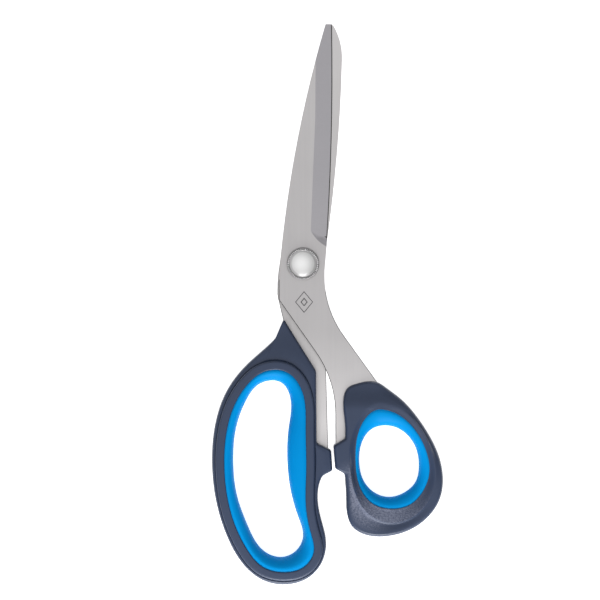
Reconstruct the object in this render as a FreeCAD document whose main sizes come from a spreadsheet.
import FreeCAD, Part
import math
import os
import Sketcher
from FreeCAD import Placement, Rotation, Vector

# Office scissors, 205 mm long, with offset handles and an adjustable pivot screw.
#
# The scissors lie flat and shut.  +Y runs to the blade tips, +X to the thumb side and +Z up
# through the pivot.  The origin is on the pivot axis, on the plane that the nut and both
# handles rest on.  All sizes are in millimetres.

SIZES = {
    # Blades, each stamped from sheet and ground along one edge
    "blade_thickness": 2.0,
    "blade_gap": 0.05,
    "edge_radius": 950.0,
    "edge_land": 0.35,
    "bevel_width": 6.15,
    "runout_radius": 13.1,
    "runout_reach": 5.15,
    "runout_length": 3.3,
    # Pivot nut, with a square neck held in the lower blade
    "nut_diameter": 10.6,
    "nut_thickness": 2.2,
    "nut_chamfer": 0.45,
    "neck_width": 6.6,
    "neck_height": 1.9,
    "nut_floor": 0.6,
    "nut_bore": 4.1,
    # Pivot screw
    "thread_diameter": 4.0,
    "thread_end": 0.9,
    "shoulder_diameter": 6.0,
    "shoulder_end": 4.15,
    "pivot_bore": 6.08,
    "head_diameter": 11.7,
    "head_underside": 6.65,
    "head_thickness": 1.35,
    "head_edge": 0.2,
    "recess_diameter": 9.4,
    "recess_roof": 7.2,
    "dome_diameter": 9.2,
    "dome_rise": 1.0,
    "groove_outer": 10.0,
    "groove_depth": 0.35,
    "rim_teeth": 50,
    "tooth_gap": 0.42,
    # Washers under the screw head
    "thrust_outer": 10.4,
    "thrust_inner": 6.2,
    "thrust_thickness": 0.35,
    "spring_outer": 9.1,
    "spring_inner": 6.3,
    "spring_sheet": 0.3,
    # Handles and soft grips
    "handle_height": 10.4,
    "ring_width": 3.2,
    "web_step": 1.0,
    "web_rounding": 0.7,
    "ring_rounding": 0.8,
    "thumb_rounding": 0.7,
    "grip_step": 0.4,
    "finger_roll": 1.5,
    "thumb_roll": 0.7,
    "dish_depth": 1.3,
    "thumb_grip_step": 1.5,
}

# Ends of the cutting edges, heel and tip
UPPER_HEEL = (8.65, 6.2)
UPPER_TIP = (10.6, 87.7)
LOWER_HEEL = (-7.0, 9.0)
LOWER_TIP = (9.85, 87.35)

# How far the grinding cutter spans either side of the heel, and along the blade
CUTTER_REACH = 30.0
CUTTER_LENGTH = 90.0

# Straight-sided stretches: (x, y, corner radius)
UPPER_SHANK = [
    UPPER_HEEL + (0,), (7.85, -3.0, 20), (7.85, -16.5, 36.8), (30.5, -48.1, 1), (22.0, -51.7, 8),
    (17.2, -60.7, 8), (17.1, -73.2, 1), (12.0, -73.2, 1), (11.85, -42.6, 40), (-8.8, -13.3, 0.5),
    (-8.8, -5.5, 15), (-8.25, 2.0, 0),
]
LOWER_SHANK = [
    (8.5, 6.0, 0), (7.6, -6.0, 30), (9.3, -73.2, 1), (3.0, -73.2, 1), (2.4, -44.2, 10),
    (-6.4, -24.2, 6), (-9.4, -11.6, 8), (-9.3, -5.0, 20), (-8.0, 4.0, 10), LOWER_HEEL + (0,),
]
FINGER_SHOULDER = [
    (-8.6, -24.4, 0), (-7.15, -20.2, 0.35), (4.8, -39.3, 2.5), (5.0, -65.6, 1), (10.3, -68.2, 1),
    (10.8, -75.7, 0.8), (8.1, -77.1, 0),
]
THUMB_SHOULDER = [
    (15.6, -82.2, 0), (15.2, -76.8, 1.5), (11.75, -74.9, 0.8), (11.1, -66.5, 1), (15.4, -63.9, 1),
    (15.4, -60.8, 0),
]

# Smooth stretches, drawn through their points
FINGER_SWEEP = [
    (8.1, -77.1), (6.4, -79.2), (5.4, -84.7), (6.6, -93.3), (8.5, -101.7), (7.2, -108.7),
    (2.2, -114.7), (-5.8, -117.3), (-14.5, -115.8), (-21.3, -110.6), (-27.5, -100.4),
    (-32.0, -85.8), (-33.3, -72.2), (-31.5, -56.0), (-27.3, -45.5), (-20.6, -37.0),
    (-12.9, -30.1), (-8.6, -24.4),
]
THUMB_SWEEP = [
    (15.4, -60.8), (14.8, -53.8), (14.7, -50.2), (16.4, -45.4), (19.7, -43.9), (23.6, -43.1),
    (27.4, -43.5), (30.4, -45.4), (35.9, -49.6), (41.2, -55.4), (45.2, -61.2), (48.6, -67.6),
    (51.1, -77.2), (50.1, -85.8), (45.2, -93.1), (38.9, -97.4), (30.1, -99.7), (22.7, -99.1),
    (17.9, -96.1), (16.1, -91.7), (15.6, -82.2),
]

# Closed loops
FINGER_GRIP_EDGE = [
    (-10.8, -38.8), (-4.1, -40.9), (-0.1, -47.3), (1.0, -60.3), (1.2, -75.2), (1.2, -90.2),
    (3.1, -99.2), (4.0, -104.5), (0.7, -110.5), (-6.3, -112.7), (-14.4, -110.9), (-20.8, -103.7),
    (-25.8, -92.7), (-28.5, -78.5), (-28.3, -64.3), (-25.7, -53.3), (-19.8, -43.6),
]
FINGER_HOLE = [
    (-12.3, -42.9), (-6.8, -44.6), (-4.5, -50.3), (-5.3, -60.3), (-5.8, -70.2), (-4.7, -82.2),
    (-1.6, -93.2), (0.0, -99.7), (-2.0, -104.5), (-7.6, -107.4), (-14.0, -105.4),
    (-20.3, -95.7), (-24.3, -84.2), (-25.5, -72.2), (-24.5, -60.3), (-20.3, -49.2),
]
THUMB_GRIP_EDGE = [
    (28.7, -53.2), (36.0, -55.9), (42.0, -62.3), (45.4, -69.7), (46.2, -76.2), (44.0, -82.9),
    (39.1, -88.1), (32.2, -89.6), (25.2, -87.6), (20.5, -81.1), (19.2, -73.2), (19.4, -65.8),
    (21.5, -58.5),
]
THUMB_HOLE = [
    (30.2, -59.3), (36.7, -61.5), (41.1, -67.1), (42.4, -73.7), (41.1, -80.0), (37.2, -83.7),
    (31.7, -85.4), (26.2, -83.8), (22.1, -79.2), (20.6, -72.3), (21.5, -65.8), (24.8, -60.9),
]
THUMB_DISH = [
    (29.2, -50.3), (37.7, -54.3), (44.3, -62.3), (47.7, -70.7), (48.5, -78.2), (46.3, -86.2),
    (40.2, -92.6), (32.2, -94.8), (23.7, -91.4), (18.4, -82.2), (17.0, -73.2), (17.2, -64.8),
    (20.2, -56.3),
]


class Size:
    """A length as its value and as the expression that binds a feature to the sheet."""

    def __init__(self, value, text):
        self.value = value
        self.text = text

    def __add__(self, other):
        return Size(self.value + other.value, f"({self.text} + {other.text})")

    def __sub__(self, other):
        return Size(self.value - other.value, f"({self.text} - {other.text})")

    def __truediv__(self, other):
        return Size(self.value / other.value, f"({self.text} / {other.text})")


def size(name):
    return Size(SIZES[name], f"Sizes.{name}")


ZERO = Size(0.0, "0")
TWO = Size(2.0, "2")
# How far a cutting tool runs past the face that it cuts
OVERRUN = Size(1.0, "1")


# Heights above the resting plane

def lower_blade_bottom():
    return size("nut_thickness")


def upper_blade_bottom():
    return lower_blade_bottom() + size("blade_thickness") + size("blade_gap")


def upper_blade_top():
    return upper_blade_bottom() + size("blade_thickness")


# Document, sheet, bodies and sketches

def make_sheet(doc):
    sheet = doc.addObject("Spreadsheet::Sheet", "Sizes")
    for row, (name, value) in enumerate(SIZES.items(), start=1):
        sheet.set(f"A{row}", name)
        sheet.set(f"B{row}", str(value))
        sheet.setAlias(f"B{row}", name)
    doc.recompute()


def add_body(doc, name):
    body = doc.addObject("PartDesign::Body", name)
    body.Label = name
    body.Placement = Placement()
    return body


def origin_part(body, role):
    return next(part for part in body.Origin.OriginFeatures if part.Role == role)


def add_sketch(body, name, height=ZERO, role="XY_Plane"):
    sketch = body.newObject("Sketcher::SketchObject", name)
    sketch.AttachmentSupport = [(origin_part(body, role), "")]
    sketch.MapMode = "FlatFace"
    sketch.setExpression("AttachmentOffset.Base.z", height.text)
    return sketch


def outline_sketch(body, name, edges, height=ZERO):
    sketch = add_sketch(body, name, height)
    sketch.addGeometry(edges, False)
    return sketch


def bind(sketch, constraint, length):
    index = sketch.addConstraint(constraint)
    sketch.setExpression(f"Constraints[{index}]", length.text)


def place_point(sketch, edge, x, y):
    """Holds the start of an edge at x, y from the sketch's origin."""
    for length, kind, axis in ((x, "DistanceX", -2), (y, "DistanceY", -1)):
        if length is ZERO:
            sketch.addConstraint(Sketcher.Constraint("PointOnObject", edge, 1, axis))
        else:
            bind(sketch, Sketcher.Constraint(kind, -1, 1, edge, 1, length.value), length)


def join_ends(sketch, count):
    for edge in range(count):
        following = (edge + 1) % count
        sketch.addConstraint(Sketcher.Constraint("Coincident", edge, 2, following, 1))


def polygon_sketch(body, name, vertices, height=ZERO, role="XY_Plane"):
    sketch = add_sketch(body, name, height, role)
    points = [Vector(x.value, y.value, 0) for x, y in vertices]
    for start, end in zip(points, points[1:] + points[:1]):
        sketch.addGeometry(Part.LineSegment(start, end), False)
    join_ends(sketch, len(points))
    for edge, (x, y) in enumerate(vertices):
        place_point(sketch, edge, x, y)
    return sketch


def circle_sketch(body, name, diameters, height=ZERO):
    sketch = add_sketch(body, name, height)
    for edge, diameter in enumerate(diameters):
        circle = Part.Circle(Vector(), Vector(0, 0, 1), diameter.value / 2)
        sketch.addGeometry(circle, False)
        sketch.addConstraint(Sketcher.Constraint("Coincident", edge, 3, -1, 1))
        bind(sketch, Sketcher.Constraint("Diameter", edge, diameter.value), diameter)
    return sketch


def pad(body, name, sketch, length):
    feature = body.newObject("PartDesign::Pad", name)
    feature.Profile = sketch
    feature.setExpression("Length", length.text)
    return feature


def pocket_up(body, name, sketch, length):
    """Cuts from the sketch's plane upwards."""
    feature = body.newObject("PartDesign::Pocket", name)
    feature.Profile = sketch
    feature.Reversed = True
    feature.setExpression("Length", length.text)
    return feature


def turn(body, name, sketch):
    """Turns an upright profile about the pivot axis."""
    feature = body.newObject("PartDesign::Revolution", name)
    feature.Profile = sketch
    feature.ReferenceAxis = (sketch, ["V_Axis"])
    feature.Angle = 360
    return feature


def loft_cut(body, name, sketches):
    feature = body.newObject("PartDesign::SubtractiveLoft", name)
    feature.Profile = sketches[0]
    feature.Sections = sketches[1:]
    return feature


def round_rims(body, name, heights, radius):
    """Fillets every edge of the body that lies flat at one of the heights."""
    body.Document.recompute()
    base = body.Tip
    rims = []
    for number, edge in enumerate(base.Shape.Edges, start=1):
        box = edge.BoundBox
        level = any(math.isclose(box.ZMin, height.value, abs_tol=1e-6) for height in heights)
        if level and box.ZLength < 1e-6:
            rims.append(f"Edge{number}")
    feature = body.newObject("PartDesign::Fillet", name)
    feature.Base = (base, rims)
    feature.setExpression("Radius", radius.text)
    return feature


# Outline geometry

def flat(point):
    return Vector(point[0], point[1], 0)


def rounded_path(vertices):
    """Lines joined by tangent arcs along (x, y, corner radius); the two ends stay open."""
    edges = []
    start = flat(vertices[0])
    for before, corner, after in zip(vertices, vertices[1:], vertices[2:]):
        tip = flat(corner)
        back = (flat(before) - tip).normalize()
        ahead = (flat(after) - tip).normalize()
        inward = (back + ahead).normalize()
        half_angle = back.getAngle(ahead) / 2
        trim = corner[2] / math.tan(half_angle)
        nearest = tip + inward * (corner[2] / math.sin(half_angle) - corner[2])
        edges.append(Part.LineSegment(start, tip + back * trim))
        edges.append(Part.Arc(tip + back * trim, nearest, tip + ahead * trim))
        start = tip + ahead * trim
    edges.append(Part.LineSegment(start, flat(vertices[-1])))
    return edges


def three_point_arc(start, middle, end):
    return Part.Arc(flat(start), flat(middle), flat(end))


def edge_centre(start, end):
    """Centre of a cutting edge, an arc that bulges to the right on the way from start to end."""
    chord = flat(end) - flat(start)
    right = Vector(chord.y, -chord.x, 0).normalize()
    reach = math.sqrt(SIZES["edge_radius"] ** 2 - (chord.Length / 2) ** 2)
    return flat(start) + chord * 0.5 - right * reach


def edge_arc(start, end):
    centre = edge_centre(start, end)
    outward = ((flat(start) + flat(end)) * 0.5 - centre).normalize()
    return Part.Arc(flat(start), centre + outward * SIZES["edge_radius"], flat(end))


def smooth_run(before, points, after):
    """A curve through the points; short leads line its ends up with the neighbouring lines."""
    lead = 0.6
    path = [flat(point) for point in points]
    path.insert(1, path[0] + (path[0] - flat(before)).normalize() * lead)
    path.insert(-1, path[-1] - (flat(after) - path[-1]).normalize() * lead)
    curve = Part.BSplineCurve()
    curve.interpolate(Points=path)
    return curve


def closed_curve(points):
    curve = Part.BSplineCurve()
    curve.interpolate(Points=[flat(point) for point in points], PeriodicFlag=True)
    return curve


def offset_loop(points, distance):
    """A clockwise loop of points moved outwards."""
    moved = []
    for index, point in enumerate(points):
        along = flat(points[(index + 1) % len(points)]) - flat(points[index - 1])
        outward = Vector(-along.y, along.x, 0).normalize() * distance
        moved.append((point[0] + outward.x, point[1] + outward.y))
    return moved


def upper_blade_outline():
    tip_corner = (8.25, 87.7)
    edges = rounded_path(UPPER_SHANK)
    edges.append(three_point_arc(UPPER_SHANK[-1], (-1.8, 46.5), tip_corner))
    edges.append(Part.LineSegment(flat(tip_corner), flat(UPPER_TIP)))
    edges.append(edge_arc(UPPER_HEEL, UPPER_TIP))
    return edges


def lower_blade_outline():
    tip_corner = (11.05, 87.4)
    nose_end = (14.25, 73.0)
    edges = rounded_path(LOWER_SHANK)
    edges.append(edge_arc(LOWER_TIP, LOWER_HEEL))
    edges.append(Part.LineSegment(flat(LOWER_TIP), flat(tip_corner)))
    edges.append(three_point_arc(tip_corner, (13.35, 82.1), nose_end))
    edges.append(three_point_arc(nose_end, (12.75, 44.0), LOWER_SHANK[0]))
    return edges


def handle_outline(shoulder, sweep):
    """A shoulder of straight sides and rounded corners, closed by one smooth sweep."""
    return rounded_path(shoulder) + [smooth_run(shoulder[-2], sweep, shoulder[1])]


# Blades

def ground_cone(doc, name, centre, base, face_radius, land_radius, face_up):
    """A cone from below a bevel to above it, given by its radius beyond the face and the land."""
    cone = doc.addObject("Part::Cone", name)
    low, high = (land_radius, face_radius) if face_up else (face_radius, land_radius)
    cone.setExpression("Radius1", low.text)
    cone.setExpression("Radius2", high.text)
    cone.setExpression("Height", cutter_height().text)
    cone.Placement = Placement(centre, Rotation(Vector(0, 0, 1), 90))
    cone.setExpression("Placement.Base.z", base.text)
    return cone


def bevel_depth():
    return size("blade_thickness") - size("edge_land")


def cutter_height():
    return bevel_depth() + OVERRUN + OVERRUN


def bevel_cutter(doc, name, ends, heel, blade_bottom, face_up):
    """What the grinding takes off: a conical bevel with a curved run-out at the heel."""
    base = blade_bottom - OVERRUN
    if face_up:
        base = base + size("edge_land")
    slope = size("bevel_width") / bevel_depth()
    edge_radius = size("edge_radius")
    bevel = ground_cone(
        doc, name + "Bevel", edge_centre(*ends), base,
        edge_radius - size("bevel_width") - slope, edge_radius + slope, face_up,
    )

    outward = (flat(heel) - edge_centre(*ends)).normalize()
    along = Vector(-outward.y, outward.x, 0) * (1 if face_up else -1)
    reach = SIZES["runout_reach"]
    rise = math.sqrt(SIZES["runout_radius"] ** 2 - reach ** 2)
    centre = flat(heel) + outward * reach + along * rise
    runout_radius = size("runout_radius")
    runout_length = size("runout_length")
    runout_slope = runout_length / bevel_depth()
    runout = ground_cone(
        doc, name + "Runout", centre, base,
        runout_radius + runout_slope, runout_radius - runout_length - runout_slope, face_up,
    )

    slab = doc.addObject("Part::Box", name + "Slab")
    slab.Length = 2 * CUTTER_REACH
    slab.Width = CUTTER_LENGTH
    slab.setExpression("Height", cutter_height().text)
    across = Vector(along.y, -along.x, 0)
    turned = math.degrees(math.atan2(across.y, across.x))
    slab.Placement = Placement(centre - across * CUTTER_REACH, Rotation(Vector(0, 0, 1), turned))
    slab.setExpression("Placement.Base.z", base.text)

    zone = doc.addObject("Part::Fuse", name + "Zone")
    zone.Base = slab
    zone.Tool = runout
    cutter = doc.addObject("Part::Cut", name + "Cutter")
    cutter.Base = zone
    cutter.Tool = bevel
    return cutter


def ground_blade(doc, label, blank, cutter):
    blade = doc.addObject("Part::Cut", label + "_ground")
    blade.Base = blank
    blade.Tool = cutter
    blade.Label = label
    blade.Placement = Placement()
    return blade


def upper_blade(doc):
    """The front blade, whose bevel faces up along its right edge."""
    bottom = upper_blade_bottom()
    thickness = size("blade_thickness")
    body = add_body(doc, "UpperBlank")
    pad(body, "UpperPlate", outline_sketch(body, "UpperOutline", upper_blade_outline(), bottom),
        thickness)
    bore = circle_sketch(body, "UpperBoreCircle", [size("pivot_bore")], bottom)
    pocket_up(body, "UpperBore", bore, thickness)
    cutter = bevel_cutter(doc, "Upper", (UPPER_HEEL, UPPER_TIP), UPPER_HEEL, bottom, True)
    return ground_blade(doc, "upper_blade", body, cutter)


def lower_blade(doc):
    """The back blade, whose bevel faces down along its left edge."""
    bottom = lower_blade_bottom()
    thickness = size("blade_thickness")
    body = add_body(doc, "LowerBlank")
    pad(body, "LowerPlate", outline_sketch(body, "LowerOutline", lower_blade_outline(), bottom),
        thickness)
    pocket_up(body, "SquareHole", square_sketch(body, "SquareHoleOutline", bottom), thickness)
    cutter = bevel_cutter(doc, "Lower", (LOWER_TIP, LOWER_HEEL), LOWER_HEEL, bottom, False)
    return ground_blade(doc, "lower_blade", body, cutter)


# Pivot

def square_sketch(body, name, height):
    """The square that keeps the nut from turning in the lower blade."""
    half = size("neck_width") / TWO
    minus = ZERO - half
    corners = [(half, half), (minus, half), (minus, minus), (half, minus)]
    return polygon_sketch(body, name, corners, height)


def pivot_nut(doc):
    body = add_body(doc, "pivot_nut")
    radius = size("nut_diameter") / TWO
    chamfer = size("nut_chamfer")
    thickness = size("nut_thickness")
    flange = polygon_sketch(body, "NutProfile", [
        (ZERO, ZERO), (radius - chamfer, ZERO), (radius, chamfer), (radius, thickness),
        (ZERO, thickness),
    ], role="XZ_Plane")
    turn(body, "NutFlange", flange)
    pad(body, "NutNeck", square_sketch(body, "NeckSquare", thickness), size("neck_height"))
    floor = size("nut_floor")
    bore = circle_sketch(body, "NutBoreCircle", [size("nut_bore")], floor)
    pocket_up(body, "NutBore", bore, thickness + size("neck_height") - floor)
    return body


def pivot_screw(doc):
    body = add_body(doc, "pivot_screw")
    add_screw_stem_and_head(body)
    add_dome(body)
    add_rim_teeth(body)
    return body


def head_top():
    return size("head_underside") + size("head_thickness")


def add_screw_stem_and_head(body):
    thread = size("thread_diameter") / TWO
    thread_end = size("thread_end")
    edge = size("head_edge")
    shoulder = size("shoulder_diameter") / TWO
    shoulder_end = size("shoulder_end")
    recess = size("recess_diameter") / TWO
    roof = size("recess_roof")
    head = size("head_diameter") / TWO
    underside = size("head_underside")
    groove_outer = size("groove_outer") / TWO
    groove_bottom = head_top() - size("groove_depth")
    turn(body, "StemAndHead", polygon_sketch(body, "ScrewProfile", [
        (ZERO, thread_end), (thread - edge, thread_end), (thread, thread_end + edge),
        (thread, shoulder_end), (shoulder, shoulder_end), (shoulder, roof), (recess, roof),
        (recess, underside), (head - edge, underside), (head, underside + edge),
        (head, head_top() - edge), (head - edge, head_top()), (groove_outer, head_top()),
        (groove_outer, groove_bottom), (ZERO, groove_bottom),
    ], role="XZ_Plane"))


def add_dome(body):
    """The polished cap, a slice of a sphere that stands in the head's groove."""
    base = head_top() - size("groove_depth")
    radius = size("dome_diameter") / TWO
    rise = size("dome_rise")
    sphere_radius = (radius.value ** 2 + rise.value ** 2) / (2 * rise.value)
    centre_height = base.value + rise.value - sphere_radius
    half_way = math.asin(radius.value / sphere_radius) / 2
    foot = Vector(radius.value, base.value, 0)
    middle = Vector(math.sin(half_way), math.cos(half_way), 0) * sphere_radius
    crown = Vector(0, base.value + rise.value, 0)
    sketch = add_sketch(body, "DomeProfile", role="XZ_Plane")
    sketch.addGeometry(Part.LineSegment(Vector(0, base.value, 0), foot), False)
    sketch.addGeometry(Part.Arc(foot, middle + Vector(0, centre_height, 0), crown), False)
    sketch.addGeometry(Part.LineSegment(crown, Vector(0, base.value, 0)), False)
    join_ends(sketch, 3)
    place_point(sketch, 0, ZERO, base)
    place_point(sketch, 1, radius, base)
    place_point(sketch, 2, ZERO, base + rise)
    sketch.addConstraint(Sketcher.Constraint("PointOnObject", 1, 3, -2))
    turn(body, "Dome", sketch)


def add_rim_teeth(body):
    """Fine upright notches round the rim, by which the screw is turned."""
    body.Document.recompute()
    head = size("head_diameter") / TWO
    notch = size("tooth_gap")
    sketch = add_sketch(body, "ToothGapCircle", size("head_underside"))
    sketch.addGeometry(Part.Circle(Vector(head.value, 0, 0), Vector(0, 0, 1), notch.value / 2), False)
    sketch.addConstraint(Sketcher.Constraint("PointOnObject", 0, 3, -1))
    bind(sketch, Sketcher.Constraint("DistanceX", -1, 1, 0, 3, head.value), head)
    bind(sketch, Sketcher.Constraint("Diameter", 0, notch.value), notch)
    gap = pocket_up(body, "ToothGap", sketch, size("head_thickness"))
    teeth = body.newObject("PartDesign::PolarPattern", "RimTeeth")
    teeth.Originals = [gap]
    teeth.Axis = (origin_part(body, "Z_Axis"), [""])
    teeth.Angle = 360
    teeth.setExpression("Occurrences", "Sizes.rim_teeth")
    body.Tip = teeth


def thrust_washer(doc):
    body = add_body(doc, "thrust_washer")
    diameters = [size("thrust_outer"), size("thrust_inner")]
    ring = circle_sketch(body, "ThrustRing", diameters, upper_blade_top())
    pad(body, "ThrustDisc", ring, size("thrust_thickness"))
    return body


def spring_washer(doc):
    """A shallow cone of spring steel between the thrust washer and the head's recess."""
    body = add_body(doc, "spring_washer")
    outer = size("spring_outer") / TWO
    inner = size("spring_inner") / TWO
    sheet = size("spring_sheet")
    base = upper_blade_top() + size("thrust_thickness")
    roof = size("recess_roof")
    profile = polygon_sketch(body, "SpringProfile", [
        (outer, base), (outer, base + sheet), (inner, roof), (inner, roof - sheet),
    ], role="XZ_Plane")
    turn(body, "SpringCone", profile)
    return body


# Handles and grips

def cut_tang_slot(body, outline, bottom):
    """The slot that the moulding leaves round the tang."""
    sketch = outline_sketch(body, body.Name + "TangOutline", outline, bottom)
    return pocket_up(body, body.Name + "TangSlot", sketch, size("blade_thickness"))


def cut_grip_seat(body, grip_edge):
    sketch = outline_sketch(body, body.Name + "SeatOutline", [closed_curve(grip_edge)])
    return pocket_up(body, body.Name + "Seat", sketch, size("handle_height"))


def finger_handle(doc):
    """The long handle: a flat web on the tang with a taller ring round the grip."""
    body = add_body(doc, "finger_handle")
    step = size("web_step")
    height = size("handle_height")
    web = outline_sketch(body, "FingerWebOutline", handle_outline(FINGER_SHOULDER, FINGER_SWEEP),
                         step)
    pad(body, "FingerWeb", web, height - step - step)
    round_rims(body, "FingerWebRims", [step, height - step], size("web_rounding"))
    ring_loop = offset_loop(FINGER_GRIP_EDGE, SIZES["ring_width"])
    ring = outline_sketch(body, "FingerRingOutline", [closed_curve(ring_loop)])
    pad(body, "FingerRing", ring, height)
    round_rims(body, "FingerRingRims", [ZERO, height], size("ring_rounding"))
    cut_grip_seat(body, FINGER_GRIP_EDGE)
    cut_tang_slot(body, lower_blade_outline(), lower_blade_bottom())
    return body


def thumb_handle(doc):
    """The short handle, dished round the grip on both faces."""
    body = add_body(doc, "thumb_handle")
    height = size("handle_height")
    plate = outline_sketch(body, "ThumbOutline", handle_outline(THUMB_SHOULDER, THUMB_SWEEP))
    pad(body, "ThumbPlate", plate, height)
    round_rims(body, "ThumbRims", [ZERO, height], size("thumb_rounding"))
    for side, outer, inner in (
        ("Front", height, height - size("dish_depth")),
        ("Back", ZERO, size("dish_depth")),
    ):
        mouth = outline_sketch(body, side + "DishMouth", [closed_curve(THUMB_DISH)], outer)
        floor = outline_sketch(body, side + "DishFloor", [closed_curve(THUMB_GRIP_EDGE)], inner)
        loft_cut(body, side + "Dish", [mouth, floor])
    cut_grip_seat(body, THUMB_GRIP_EDGE)
    cut_tang_slot(body, upper_blade_outline(), upper_blade_bottom())
    return body


def soft_grip(doc, label, grip_edge, hole, step, roll):
    """A rubber liner whose hole is narrowest at mid-height."""
    body = add_body(doc, label)
    height = size("handle_height")
    outline = outline_sketch(body, label + "Outline", [closed_curve(grip_edge)], step)
    pad(body, label + "Ring", outline, height - step - step)
    mouth = closed_curve(offset_loop(hole, roll))
    loft_cut(body, label + "Hole", [
        outline_sketch(body, label + "HoleBack", [mouth], step - OVERRUN),
        outline_sketch(body, label + "HoleWaist", [closed_curve(hole)], height / TWO),
        outline_sketch(body, label + "HoleFront", [mouth], height - step + OVERRUN),
    ])
    return body


def finger_grip(doc):
    return soft_grip(doc, "finger_grip", FINGER_GRIP_EDGE, FINGER_HOLE, size("grip_step"),
                     SIZES["finger_roll"])


def thumb_grip(doc):
    return soft_grip(doc, "thumb_grip", THUMB_GRIP_EDGE, THUMB_HOLE, size("thumb_grip_step"),
                     SIZES["thumb_roll"])


def check(doc, parts):
    for item in doc.Objects:
        if "Invalid" in item.State or "Error" in item.State:
            raise RuntimeError(f"{item.Name} failed: {item.State}")
    for part in parts:
        shape = part.Shape
        if shape.isNull() or not shape.isValid():
            raise RuntimeError(f"{part.Label} has no valid shape")
        if len(shape.Solids) != 1:
            raise RuntimeError(f"{part.Label} has {len(shape.Solids)} solids, not one")


def main():
    doc = FreeCAD.newDocument("office_scissors")
    make_sheet(doc)
    makers = (
        lower_blade, upper_blade, pivot_nut, pivot_screw, thrust_washer, spring_washer,
        finger_handle, finger_grip, thumb_handle, thumb_grip,
    )
    parts = [make(doc) for make in makers]
    doc.recompute()
    check(doc, parts)
    os.makedirs("parts", exist_ok=True)
    for part in parts:
        part.Shape.exportStep(f"parts/{part.Label}.step")
        print(f"{part.Label}: {part.Shape.Volume:.1f} mm3")


main()
